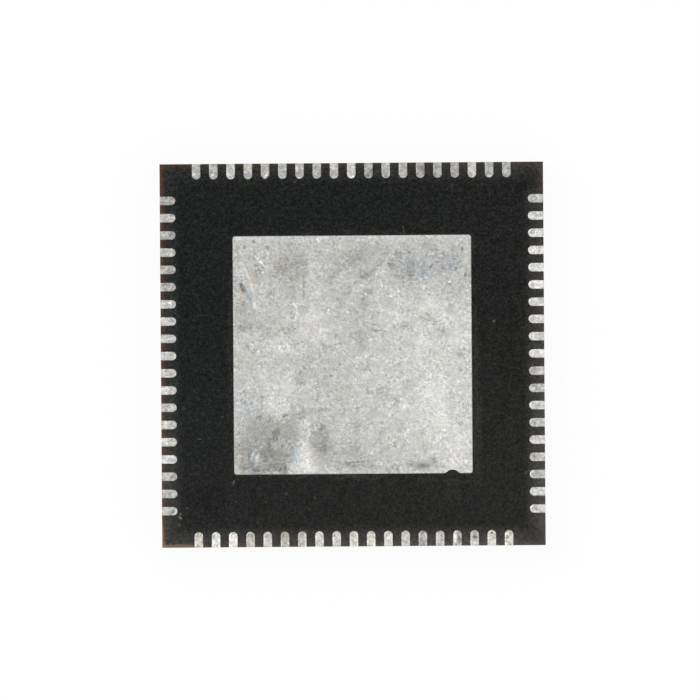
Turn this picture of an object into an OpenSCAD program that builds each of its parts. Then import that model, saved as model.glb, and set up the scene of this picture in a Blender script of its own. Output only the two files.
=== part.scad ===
// Integrated circuit in a quad flat no-lead package, 76 terminals at a 0.4 mm pitch.
// It lies on its marked face with the terminals up: Z is 0 on the marked face, and the
// origin is at the middle of that face. Terminal 1 is at the right end of the -Y side,
// and the numbers run clockwise as seen from above. All sizes are in millimetres.

/* [Moulding] */
// Side of the sawn square outline
body_side = 8.9; // [8.85:0.05:9.1]
// Height of the moulding, from its marked face to its board side
mould_h = 0.835; // [0.75:0.005:0.95]
// Radius of the round mark beside terminal 1, on the marked face
pin_mark_r = 0.25; // [0.15:0.05:0.4]
// Distance of the mark's centre from the two nearest sides
pin_mark_inset = 0.65; // [0.6:0.05:1]
// Depth of that mark
pin_mark_depth = 0.025; // [0.01:0.005:0.05]

/* [Leadframe] */
// Thickness of the copper sheet that the leadframe is etched from
frame_t = 0.2; // [0.15:0.01:0.25]
// Depth etched away from the board side of the parts that the moulding hides
half_etch = 0.1; // [0.06:0.01:0.12]
// Thickness of the matte tin on the faces that solder
tin_t = 0.015; // [0.01:0.001:0.02]
// Width of the soft shoulder that the tin has along its edges
tin_shoulder = 0.03; // [0.015:0.005:0.04]

/* [Terminals] */
// Terminals along each side
per_side = 19; // [9:2:19]
// Distance between neighbouring terminals
pitch = 0.4; // [0.38:0.01:0.4]
// Width of a terminal
terminal_w = 0.2; // [0.16:0.01:0.24]
// Length of a terminal's exposed face, in from the sawn side
terminal_l = 0.36; // [0.3:0.01:0.42]
// Width of the half-etched finger that a bond wire lands on
finger_w = 0.15; // [0.12:0.01:0.16]
// Distance from the middle of the package to the tips of the fingers
finger_reach = 3.5; // [3.4:0.05:3.6]
// Share of the terminal pitch that is left between the finger tips
finger_fan = 0.82; // [0.78:0.01:0.85]

/* [Exposed pad] */
// Side of the exposed pad
pad_side = 5.54; // [5.2:0.02:5.6]
// Radius of the exposed pad's corners
pad_corner_r = 0.07; // [0.05:0.01:0.15]
// Width of the half-etched lip that locks the pad into the moulding
pad_lip = 0.18; // [0.1:0.01:0.2]
// Radius of the notch in the pad's edge that marks the side with terminal 1
notch_r = 0.18; // [0.14:0.01:0.19]
// Distance of the notch from the middle of that edge
notch_x = 2.3; // [1.8:0.05:2.3]
// Distance of the notch's centre outside the pad's edge
notch_out = 0.09; // [0.05:0.005:0.1]
// How far the notch's mouth is flared to each side, and how far in the flare starts
notch_flare = 0.04; // [0.02:0.005:0.05]
// Width of the four bars that tie the pad to the corners
tie_bar_w = 0.2; // [0.15:0.01:0.22]

/* [Die] */
// Side of the silicon die
die_side = 4.2; // [3.6:0.1:4.4]
// Thickness of the die
die_t = 0.2; // [0.12:0.01:0.22]
// Thickness of the silver epoxy under the die
attach_t = 0.025; // [0.015:0.005:0.03]
// Width of the epoxy's fillet around the die
attach_fillet = 0.08; // [0.05:0.01:0.1]
// Distance of the row of bonding pads from the die's edge
bond_inset = 0.08; // [0.06:0.01:0.12]
// Distance of the row's ends from the die's corners
bond_corner = 0.16; // [0.14:0.01:0.2]

/* [Bond wires] */
// Diameter of a wire
wire_d = 0.025; // [0.02:0.001:0.03]
// Flats round a wire, which stand in for its round section
wire_flats = 8; // [8:4:12]
// Height of a wire's loop over the die
loop_h = 0.13; // [0.11:0.01:0.15]
// Radius of the bend at the top of the loop
loop_bend_r = 0.06; // [0.05:0.005:0.08]
// Diameter of the ball on the die
ball_d = 0.06; // [0.05:0.005:0.07]
// Thickness of the ball on the die
ball_t = 0.014; // [0.01:0.002:0.02]
// Length of the flattened stitch on the finger
stitch_l = 0.07; // [0.05:0.005:0.08]
// Width of that stitch
stitch_w = 0.05; // [0.04:0.005:0.06]
// Thickness of that stitch
stitch_t = 0.02; // [0.015:0.001:0.022]

/* [Hidden] */
$fn = 64;

half_side = body_side / 2;
sides = [1:4];
last = per_side - 1;
// How far a cutting shape runs past the face that it opens
past = 0.1;
// Straight steps that the shoulder of the tin is made of
shoulder_steps = 4;

// Heights: the copper's board side and die side, and the undersides of the epoxy and the die
z_board = mould_h;
z_frame = z_board - frame_t;
z_attach = z_frame - attach_t;
z_die = z_attach - die_t;

// Terminals and their fingers
terminal_tip_y = -(half_side - terminal_l + terminal_w / 2);
finger_tip_y = -(finger_reach + finger_w / 2);

// Bond wires
wire_r = wire_d / 2;
bond_y = -(die_side / 2 - bond_inset);
bond_pitch = (die_side - 2 * bond_corner) / last;
z_apex = z_die - loop_h;
z_bend = z_apex + loop_bend_r;
// The wire's end, over the middle of the stitch, stays just clear of the finger
end_gap = 0.0025;
z_end = z_frame - wire_r - end_gap;

mould_color = [0.13, 0.13, 0.13];
tin_color = [0.78, 0.78, 0.77];
copper_color = [0.72, 0.45, 0.3];
silicon_color = [0.35, 0.37, 0.42];
attach_color = [0.62, 0.62, 0.6];
gold_color = [0.9, 0.72, 0.3];

// Place of a side's terminal k along its edge, counted from 0 in the order of the numbers
function terminal_x(k) = (last / 2 - k) * pitch;

// Place of the finger tip that belongs to terminal k
function finger_x(k) = terminal_x(k) * finger_fan;

// Place of the die's bonding pad that belongs to terminal k
function bond_x(k) = (last / 2 - k) * bond_pitch;

// An angle kept to a thousandth of a degree, so that a bend meets its straight exactly
function kept_angle(angle) = round(angle * 1000) / 1000;

// Turns what is drawn for side 1, the -Y side, to another side
module on_side(side) {
    rotate([0, 0, -90 * (side - 1)]) children();
}

// A square plate outline with round corners
module rounded_square(side, r) {
    square([side - 2 * r, side], center = true);
    square([side, side - 2 * r], center = true);
    for (x = [-1, 1], y = [-1, 1])
        translate([x, y] * (side / 2 - r)) circle(r);
}

// The exposed face of a terminal: straight sides from the sawn edge, and a round inner end
module terminal_outline(over) {
    outer_y = -(half_side + over);
    translate([-terminal_w / 2, outer_y]) square([terminal_w, terminal_tip_y - outer_y]);
    translate([0, terminal_tip_y]) circle(terminal_w / 2);
}

// The finger of terminal k, which leans towards the die and ends round
module finger_outline(k) {
    run = [finger_x(k) - terminal_x(k), finger_tip_y - terminal_tip_y];
    translate([0, terminal_tip_y]) rotate(atan2(run[1], run[0])) {
        translate([0, -finger_w / 2]) square([norm(run), finger_w]);
        translate([norm(run), 0]) circle(finger_w / 2);
    }
}

// Terminal k of side 1. With over it runs past the moulding, as a cutting shape.
module lead(k, over = 0) {
    translate([terminal_x(k), 0, z_frame]) {
        linear_extrude(frame_t + over) terminal_outline(over);
        linear_extrude(frame_t - half_etch) finger_outline(k);
    }
}

// The row of leads along a side
module leads(side, over = 0) {
    color(copper_color) on_side(side) for (k = [0:last]) lead(k, over);
}

// The notch in the pad's edge on side 1: a round bottom and a flared mouth
module notch_outline() {
    mouth = sqrt(notch_r * notch_r - notch_out * notch_out);
    translate([notch_x, -pad_side / 2]) {
        translate([0, -notch_out]) circle(notch_r);
        polygon([
            [-mouth - notch_flare, -past],
            [mouth + notch_flare, -past],
            [mouth + notch_flare, 0],
            [mouth - notch_flare, notch_flare],
            [notch_flare - mouth, notch_flare],
            [-mouth - notch_flare, 0],
        ]);
    }
}

// The exposed pad's outline
module pad_outline() {
    difference() {
        rounded_square(pad_side, pad_corner_r);
        notch_outline();
    }
}

// The four tie bars, from the middle to past the corners
module tie_bars() {
    reach = 2 * sqrt(2) * (half_side + past);
    for (angle = [45, 135]) rotate(angle) square([reach, tie_bar_w], center = true);
}

// The paddle that carries the die: it has its full thickness under the exposed pad only, and
// its lip and tie bars are etched back from the board side, so that the moulding grips them
module die_paddle(over = 0) {
    color(copper_color) translate([0, 0, z_frame]) {
        linear_extrude(frame_t + over) pad_outline();
        linear_extrude(frame_t - half_etch) {
            rounded_square(pad_side + 2 * pad_lip, pad_corner_r + pad_lip / 2);
            intersection() {
                tie_bars();
                square(body_side + 2 * over, center = true);
            }
        }
    }
}

// Half of a section through tin that reaches a distance of half from its middle line.
// Its outer edge rises to the flat top along a quarter of an ellipse.
function tin_section(half) = [
    [0, 0],
    for (i = [0:shoulder_steps]) let (a = 90 * i / shoulder_steps)
        [half - tin_shoulder * (1 - cos(a)), tin_t * sin(a)],
    [0, tin_t],
];

// A strip of tin along Y with a shoulder on both sides
module tin_strip(half, length) {
    rotate([90, 0, 0]) translate([0, 0, -length / 2]) linear_extrude(length) {
        polygon(tin_section(half));
        mirror([1, 0]) polygon(tin_section(half));
    }
}

// The tin on the exposed pad
module pad_plating() {
    corner = pad_side / 2 - pad_corner_r;
    color(tin_color) translate([0, 0, z_board]) difference() {
        union() {
            for (turn = [0, 90]) rotate([0, 0, turn]) tin_strip(pad_side / 2, 2 * corner);
            for (turn = [0:90:270]) rotate([0, 0, turn]) translate([corner, corner, 0])
                rotate_extrude(angle = 90) polygon(tin_section(pad_corner_r));
        }
        translate([0, 0, -past]) linear_extrude(tin_t + 2 * past) notch_outline();
    }
}

// The tin on one terminal, from the sawn edge to the round inner end
module terminal_tin() {
    run = half_side + terminal_tip_y;
    translate([0, terminal_tip_y, z_board]) {
        rotate_extrude(angle = 180) polygon(tin_section(terminal_w / 2));
        translate([0, -run / 2, 0]) tin_strip(terminal_w / 2, run);
    }
}

// The tin on the row of terminals along a side
module terminal_plating(side) {
    color(tin_color) on_side(side)
        for (k = [0:last]) translate([terminal_x(k), 0, 0]) terminal_tin();
}

// The die hangs under the paddle, with its circuit face towards the marked face
module silicon_die() {
    color(silicon_color) translate([-die_side / 2, -die_side / 2, z_die])
        cube([die_side, die_side, die_t]);
}

// The layer of silver epoxy between die and paddle, with its fillet round the die
module die_attach() {
    color(attach_color) translate([0, 0, z_attach]) linear_extrude(attach_t)
        rounded_square(die_side + 2 * attach_fillet, attach_fillet);
}

// A wire's section, with its flats at the wire's radius
module wire_section() {
    rotate(180 / wire_flats) circle(r = wire_r / cos(180 / wire_flats), $fn = wire_flats);
}

// One wire in its own upright plane: the ball is at the origin, and the stitch lies along +X
// at a distance of span. The bend's end meets the straight that runs down to the finger.
module wire_loop(span) {
    from_bend = [span - loop_bend_r, z_end - z_bend];
    away = norm(from_bend);
    slope = kept_angle(atan2(from_bend[1], from_bend[0]) + asin(loop_bend_r / away));
    straight = sqrt(away * away - loop_bend_r * loop_bend_r);
    translate([0, 0, z_die - ball_t]) cylinder(d = ball_d, h = ball_t);
    translate([0, 0, z_bend]) linear_extrude(z_die - ball_t / 2 - z_bend) wire_section();
    translate([loop_bend_r, 0, z_bend]) rotate([0, -slope, 0]) {
        translate([0, 0, -loop_bend_r]) rotate([0, 90, 0])
            linear_extrude(straight) wire_section();
        rotate([90, 0, 0]) rotate([0, 0, 180 - slope])
            rotate_extrude(angle = 90 + slope) translate([loop_bend_r, 0]) wire_section();
    }
    translate([span - stitch_l / 2, -stitch_w / 2, z_frame - stitch_t])
        cube([stitch_l, stitch_w, stitch_t]);
}

// The fan of wires from a side's bonding pads to its fingers
module bond_wires(side) {
    color(gold_color) on_side(side) for (k = [0:last]) {
        from = [bond_x(k), bond_y];
        run = [finger_x(k), finger_tip_y] - from;
        translate([from[0], from[1], 0]) rotate([0, 0, atan2(run[1], run[0])])
            wire_loop(norm(run));
    }
}

// The round mark beside terminal 1
module pin_mark() {
    place = half_side - pin_mark_inset;
    translate([place, -place, -past]) cylinder(r = pin_mark_r, h = pin_mark_depth + past);
}

// The moulding is a sawn block that fills every space round the metal and the die
module mould_body() {
    color(mould_color) difference() {
        translate([-half_side, -half_side, 0]) cube([body_side, body_side, mould_h]);
        pin_mark();
        die_paddle(past);
        die_attach();
        silicon_die();
        for (side = sides) leads(side, past);
        for (side = sides) bond_wires(side);
    }
}

mould_body();
die_paddle();
pad_plating();
silicon_die();
die_attach();
for (side = sides) {
    leads(side);
    terminal_plating(side);
    bond_wires(side);
}
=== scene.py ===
import math

import bpy
from mathutils import Euler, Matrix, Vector

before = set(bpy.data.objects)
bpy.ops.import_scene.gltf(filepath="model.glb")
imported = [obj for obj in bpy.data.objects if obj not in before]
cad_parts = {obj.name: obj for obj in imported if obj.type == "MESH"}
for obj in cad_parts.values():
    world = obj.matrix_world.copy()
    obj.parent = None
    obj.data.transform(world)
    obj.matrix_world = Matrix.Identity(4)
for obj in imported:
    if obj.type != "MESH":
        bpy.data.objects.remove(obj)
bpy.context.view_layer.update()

# The photograph: 700 px square, looking straight down on the terminal side
MM = 0.001
PHOTO_SIDE = 700.0          # px
PX_PER_MM = 43.1
BODY_AT = (352.6, 354.7)    # px, the middle of the body, from the picture's top left corner
ROLL = math.radians(0.42)   # the part is turned this far, counter-clockwise
LENS = 200.0                # mm
SENSOR = 36.0               # mm
CLIP = (0.001, 10.0)        # m, the nearest and the farthest that the camera shows

# Sizes of the part, in millimetres, as in its source
BODY_HALF = 4.45
TIN_TOP = 0.85
PAD_HALF = 2.77
PITCH = 0.4
BOND_LINE = 2.02            # the rows of bond pads on the die, from its middle
BOND_PITCH = 3.88 / 18      # a row's 19 pads reach over 3.88 mm
BOND_HALF = 0.034           # half a bond pad
PIN_MARK_AT = (3.8, -3.8)
PIN_MARK_R = 0.25

# Light: each lamp's place and side in metres, and its power in watts
LAMPS = {
    "key_lamp": ((-0.090, 0.060, 0.130), 0.10, 0.095),
    "fill_lamp": ((0.110, -0.070, 0.120), 0.12, 0.055),
}
AMBIENT = 0.72      # the world's level for diffuse rays
FLOOR_SIDE = 0.6    # m
PAPER = 0.97        # how much of the light the floor's paper gives back
GLOW = 0.92         # how much of the floor is plain white to the eye, and shows no shadow

# Looks: levels are display levels, from 0 for black to 1 for white
DISPLAY_GAMMA = 2.2
PAD_LEVEL = 0.695
TERMINAL_LEVEL = 0.694
MOULD_LEVEL = 0.115
TIN_GRAIN = (13, 31)        # grains a millimetre, coarse and fine
FILLER_GRAIN = (14, 34)
FACING = 0.5                # beyond this, of 1, a surface counts as looking up or down
NOISE_GAIN = 4              # noise keeps mostly to 0.25 to 0.75, and this brings it to twice an amount
DOT_CORE = 0.4              # the share of a dot's radius that has its full strength
BROWN_EDGE = (0.130, 0.055, 0.022, 1)
PALE_STAIN = (0.230, 0.160, 0.100, 1)


class Nodes:
    """Adds nodes to a tree. Most methods return the socket that the new nodes give."""

    def __init__(self, tree):
        self.tree = tree

    def join(self, value, socket):
        if isinstance(value, bpy.types.NodeSocket):
            self.tree.links.new(value, socket)
        else:
            socket.default_value = value

    def node(self, kind, inputs=None, **settings):
        """The node itself."""
        node = self.tree.nodes.new("ShaderNode" + kind)
        for key, value in settings.items():
            setattr(node, key, value)
        for key, value in (inputs or {}).items():
            self.join(value, node.inputs[key])
        return node

    def math(self, operation, *values, clamp=False):
        inputs = dict(enumerate(values))
        return self.node("Math", inputs, operation=operation, use_clamp=clamp).outputs[0]

    def vector(self, operation, *values, scale=None):
        inputs = dict(enumerate(values))
        if scale is not None:
            inputs["Scale"] = scale
        node = self.node("VectorMath", inputs, operation=operation)
        return node.outputs["Value" if operation in ("DISTANCE", "DOT_PRODUCT") else "Vector"]

    def total(self, *values):
        result = values[0]
        for value in values[1:]:
            result = self.math("ADD", result, value)
        return result

    def times(self, value, factor):
        return self.math("MULTIPLY", value, factor)

    def plus(self, start, value, factor):
        """start, with value times factor added."""
        return self.math("MULTIPLY_ADD", value, factor, start)

    def step(self, value, low, high, to_low=0.0, to_high=1.0, kind="SMOOTHSTEP"):
        """value from low to high, brought to to_low to to_high and kept between them."""
        inputs = {"Value": value, "From Min": low, "From Max": high, "To Min": to_low, "To Max": to_high}
        node = self.node("MapRange", inputs, interpolation_type=kind, clamp=kind == "LINEAR")
        return node.outputs["Result"]

    def seen_by_eye(self):
        """1 for camera, glossy and transmission rays, so that they find a white background."""
        path = self.node("LightPath").outputs
        both = self.math("ADD", path["Is Camera Ray"], path["Is Glossy Ray"])
        return self.math("ADD", both, path["Is Transmission Ray"], clamp=True)


class Paint(Nodes):
    """The nodes of one material. Lengths are in millimetres, and scales in waves a millimetre."""

    def __init__(self, name):
        self.material = bpy.data.materials.new(name)
        self.material.use_nodes = True
        super().__init__(self.material.node_tree)
        self.shader = self.tree.nodes["Principled BSDF"]
        self.texco = self.node("TexCoord").outputs
        self.place = self.vector("SCALE", self.texco["Object"], scale=1 / MM)

    def split(self, vector):
        return self.node("SeparateXYZ", {0: vector}).outputs

    def flat(self, place):
        """place without its height."""
        return self.vector("MULTIPLY", place, (1, 1, 0))

    def size(self, value):
        return self.math("ABSOLUTE", value)

    def reach(self):
        """x, y, and the larger of their sizes, which tells how near to a side the place is."""
        x, y, _ = self.split(self.place)
        return x, y, self.math("MAXIMUM", self.size(x), self.size(y))

    def up(self):
        """How far the surface looks up, from -1 to 1, in the part's frame."""
        return self.split(self.texco["Normal"])[2]

    def noise(self, place, scale, detail=0.0, output="Fac"):
        return self.node("TexNoise", {"Vector": place, "Scale": scale, "Detail": detail}).outputs[output]

    def swing(self, place, scale, amount, detail=0.0):
        """Noise about zero, of roughly plus or minus amount."""
        gain = NOISE_GAIN * amount
        return self.plus(-gain / 2, self.noise(place, scale, detail), gain)

    def warp(self, place, scale, amount, detail=0.0):
        """place moved about by noise, by up to about amount."""
        gain = NOISE_GAIN * amount
        noise = self.noise(place, scale, detail, "Color")
        swing = self.vector("MULTIPLY_ADD", noise, (gain,) * 3, (-gain / 2,) * 3)
        return self.vector("ADD", place, swing)

    def cells(self, place, scale, **settings):
        return self.node("TexVoronoi", {"Vector": place, "Scale": scale}, **settings).outputs

    def dots(self, scale, radius, share):
        """Round dots in a share of the cells of a pattern."""
        cells = self.cells(self.place, scale)
        chance = self.split(cells["Color"])[0]
        near = self.step(cells["Distance"], radius * scale, DOT_CORE * radius * scale)
        return self.times(near, self.math("LESS_THAN", chance, share))

    def spots(self, place, marks, total):
        """total with a soft spot added for each mark."""
        for (x, y, length, width, strength), turn, soft in marks:
            c, s = math.cos(math.radians(turn)), math.sin(math.radians(turn))
            inputs = {
                "Total": total,
                "Place": place,
                "Middle": (x, y, 0),
                "Along": (c / length, s / length, 0),
                "Across": (-s / width, c / width, 0),
                "Outer": 1 + soft,
                "Inner": 1 - soft,
                "Strength": strength,
            }
            total = self.node("Group", inputs, node_tree=SPOT).outputs["Total"]
        return total

    def mix(self, share, one, other):
        return self.node("Mix", {0: share, 6: one, 7: other}, data_type="RGBA").outputs[2]

    def tone(self, level, red, blue):
        """The colour of a display level, with its red and blue a little up or down."""
        parts = {0: self.total(level, red), 1: level, 2: self.total(level, blue)}
        colour = self.node("CombineColor", parts).outputs[0]
        return self.node("Gamma", {"Color": colour, "Gamma": DISPLAY_GAMMA}).outputs[0]

    def bump(self, height, distance):
        """The normal bent by height, which is in thousandths of a millimetre for distance 1."""
        inputs = {"Height": height, "Distance": distance * MM * MM, "Strength": 1.0}
        return self.node("Bump", inputs).outputs[0]

    def finish(self, **inputs):
        """The material, with these inputs of its shader joined."""
        for key, value in inputs.items():
            self.join(value, self.shader.inputs[key.replace("_", " ")])
        return self.material


def spot_group():
    """A group that adds strength to a total inside a soft ellipse."""
    tree = bpy.data.node_groups.new("soft_spot", "ShaderNodeTree")
    vectors = ("Place", "Middle", "Along", "Across")
    for name in ("Total", *vectors, "Outer", "Inner", "Strength"):
        kind = "NodeSocketVector" if name in vectors else "NodeSocketFloat"
        tree.interface.new_socket(name, in_out="INPUT", socket_type=kind)
    tree.interface.new_socket("Total", in_out="OUTPUT", socket_type="NodeSocketFloat")
    given = tree.nodes.new("NodeGroupInput").outputs
    result = tree.nodes.new("NodeGroupOutput").inputs
    nodes = Nodes(tree)
    away = nodes.vector("SUBTRACT", given["Place"], given["Middle"])
    along = nodes.vector("DOT_PRODUCT", away, given["Along"])
    across = nodes.vector("DOT_PRODUCT", away, given["Across"])
    square = nodes.plus(nodes.times(along, along), across, across)
    cover = nodes.step(square, given["Outer"], given["Inner"])
    nodes.join(nodes.plus(given["Total"], cover, given["Strength"]), result["Total"])
    return tree


SPOT = spot_group()


def mark_list(usual_softness, rows):
    """The marks of a list, with their turn and softness filled in where a row leaves them out."""
    return [
        ([number / 1000 for number in row[:5]], *row[5:], *(0, usual_softness)[len(row) - 5:])
        for row in rows
    ]


# Marks, placed and weighed one by one. A row has x, y, half length and half width in thousandths of
# a millimetre, and the strength in thousandths. Two more values may follow: the turn in degrees,
# which is otherwise 0, and the softness from 0 to 1, which is otherwise the list's first value.
# The marks of the pad and the moulding lie along the photo's axes, from the body's middle.

# Broad stains and worn patches of the pad
PAD_CLOUDS = mark_list(0.9, [
    # The stain in the lower left, with the bare wedge beside it
    (-2050, -2150, 620, 660, -78, 0, 1), (-2460, -2420, 260, 440, -56, 0, 1),
    (-2100, -1700, 500, 300, -26, 0, 1), (-1780, -1860, 160, 75, -115, 70, 0.8),
    (-1920, -1980, 120, 60, -50, 20), (-1980, -2250, 200, 110, -85, 80), (-2120, -2270, 90, 60, -60, 30),
    (-1760, -2340, 220, 150, -70), (-1800, -2500, 280, 70, -50, 0, 1), (-1980, -2600, 160, 80, -50, 20),
    (-1700, -2610, 220, 90, -85, -12, 0.8), (-2400, -2620, 260, 90, -50), (-1450, -1780, 200, 260, -60),
    (-1420, -2250, 100, 240, -36, -15), (-1300, -1500, 200, 130, -45, 40),
    (-740, -1960, 230, 330, -86, 0, 1), (-760, -2200, 160, 140, -32, 0, 1),
    (-950, -2520, 140, 220, 40, 20, 0.8), (-620, -2400, 240, 200, -24, 0, 1),
    (-700, -1660, 70, 160, -60, -12), (-500, -2320, 400, 180, -30, 0, 1), (-680, -1310, 180, 90, -45),
    (-1090, -2160, 100, 180, 50, 4, 0.8), (-1140, -2420, 210, 200, 50, 0, 0.5),
    (-1200, -2670, 400, 150, 50, 0, 0.7), (-1100, -2450, 100, 360, 30), (-1030, -1740, 45, 280, 30, 3, 0.8),
    (-1580, -2620, 100, 180, -50, -25), (-1800, -2710, 460, 60, -60, 0, 1),
    (950, -2690, 320, 70, -34, 0, 1), (1730, -2690, 280, 90, -55, 0, 1), (2480, 60, 110, 120, -36),
    (-2250, -2380, 120, 120, 40),
    # Left and middle
    (-1650, -800, 240, 160, 40, 0, 1), (-1470, -550, 120, 300, 35, 0, 1),
    (-1750, -1200, 260, 240, 45, 0, 1), (-2020, -500, 140, 360, 30, 0, 1),
    (-1200, -550, 220, 140, -40, 50, 1), (-620, -550, 260, 70, -25, 60, 1),
    (-1620, 150, 240, 170, 36, 0, 1), (-1600, 240, 700, 260, 18, 0, 1), (-800, 700, 420, 360, 26, 0, 1),
    (-1600, -800, 600, 340, 14, 0, 1), (200, -700, 300, 260, 20, 0, 1), (-1150, 520, 170, 130, 40, 40, 1),
    (-880, 920, 240, 200, 40, 20, 1), (-700, 450, 340, 200, 20, 0, 1), (-2400, 650, 340, 110, -45, 3),
    (-2480, 860, 260, 360, -26, 0, 1), (-1900, 520, 300, 160, -28, 0, 1), (-1460, 600, 140, 100, -30, 20),
    (-2580, 1100, 160, 500, -28, 0, 1), (-380, 420, 120, 100, -28), (-660, 160, 140, 100, -26),
    (-950, -100, 300, 120, -12, 55, 1),
    # Upper left
    (-1440, 2000, 440, 340, -40, 10, 1), (-1670, 2040, 160, 170, -42), (-1240, 2180, 200, 180, -32),
    (-1460, 1960, 140, 160, -22, -30, 1), (-1420, 2540, 160, 140, -40), (-1350, 1800, 140, 100, -34),
    (-1460, 1450, 200, 160, -30, -20, 1), (-2180, 1840, 150, 170, -45, 0, 0.8),
    (-480, 1800, 80, 170, -42, -15), (-340, 2000, 140, 100, -36, 40), (-160, 2220, 300, 160, -26, 20, 1),
    (-160, 1480, 110, 90, -32), (-340, 1250, 140, 90, -30, -40), (-920, 1750, 140, 460, 30, 2, 1),
    (-950, 1320, 240, 80, 30, 32), (-2580, 2050, 100, 340, 16, 0, 1), (-2240, 1140, 100, 130, 26),
    # Upper right
    (300, 2340, 500, 240, -30, 10, 1), (290, 1830, 130, 80, -105, 42, 0.8),
    (480, 1980, 140, 50, -40, 42, 0.8), (100, 2150, 250, 300, -30, 0, 1), (600, 2100, 160, 60, -35, 45),
    (360, 1470, 150, 65, -45, -25), (260, 1220, 160, 160, -30, 0, 1), (200, 800, 300, 400, -22, 0, 1),
    (1220, 2080, 400, 380, -42, 0, 1), (1360, 1950, 90, 220, -46, 4), (900, 2050, 80, 130, -26, -10),
    (1100, 1760, 120, 70, -22, -20), (1100, 2300, 120, 130, -30), (1720, 2560, 110, 100, -36),
    (1720, 1970, 200, 65, -36, 50), (2250, 2080, 240, 120, -36, 10), (2370, 1420, 140, 120, -36, -30),
    (2250, 1050, 100, 120, -30), (2020, 2160, 540, 340, -26, 0, 1), (1750, 1920, 260, 160, -12),
    (720, 1920, 140, 110, 34, 30), (620, 1620, 160, 110, 24, 0, 1), (980, 1430, 120, 80, 34),
    (1140, 1220, 120, 110, 30, 0, 1), (1870, 1250, 170, 150, 56), (1660, 1080, 120, 110, 34, 0, 1),
    (2020, 1020, 140, 100, 34, 0, 1), (1900, 1750, 90, 160, 28, -10, 1), (2280, 800, 180, 140, 26),
    # Right and middle
    (200, 360, 170, 250, -42, 12, 0.8), (1200, 660, 200, 80, -36), (1750, 860, 240, 140, -22),
    (750, 140, 170, 100, -26, 0, 1), (2060, 540, 180, 90, -30, -20), (2300, 660, 360, 200, -16, 0, 1),
    (950, 860, 240, 140, 22, 0, 1), (1600, 400, 80, 130, 42), (1550, 100, 120, 100, 30, 0, 1),
    (2450, 450, 180, 260, 20, 0, 1), (350, 0, 120, 80, 30), (300, -250, 170, 100, -26),
    (430, -680, 100, 70, -36), (980, -1050, 100, 140, -26, 30), (720, -950, 200, 70, -32),
    (1300, -700, 150, 110, -42, 30), (550, -1220, 120, 70, -34, 45), (1360, -980, 70, 180, -22, 0, 1),
    (1880, -740, 320, 300, 36, 0, 1), (2080, -1450, 160, 360, 34), (2300, -1900, 340, 500, 16, 0, 1),
    (1780, -1600, 160, 160, 22, 0, 1), (1800, -1160, 340, 300, 28, 0, 1), (1220, -1100, 200, 60, 34, 78),
    (1320, -1720, 200, 70, 40, 70), (2600, -720, 90, 100, -30, 0, 1),
    # Along the lower edge
    (80, -1720, 90, 180, -38, 8), (320, -1580, 90, 160, -26, -20), (1070, -1660, 100, 140, -42),
    (580, -1880, 160, 80, -26, 20, 1), (20, -2220, 200, 200, -42, 0, 1), (700, -2160, 1100, 260, -20, 0, 1),
    (60, -2540, 300, 110, -36, -6), (600, -2550, 900, 160, -34, 0, 1), (1600, -2510, 340, 130, -56),
    (1900, -2500, 130, 120, -36), (1620, -1840, 70, 160, -34), (1900, -2240, 90, 110, 34),
    (2440, -2120, 200, 340, 22, 0, 1), (2340, -2480, 140, 160, 26), (2620, -1350, 80, 130, -28, 0, 1),
])
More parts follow.
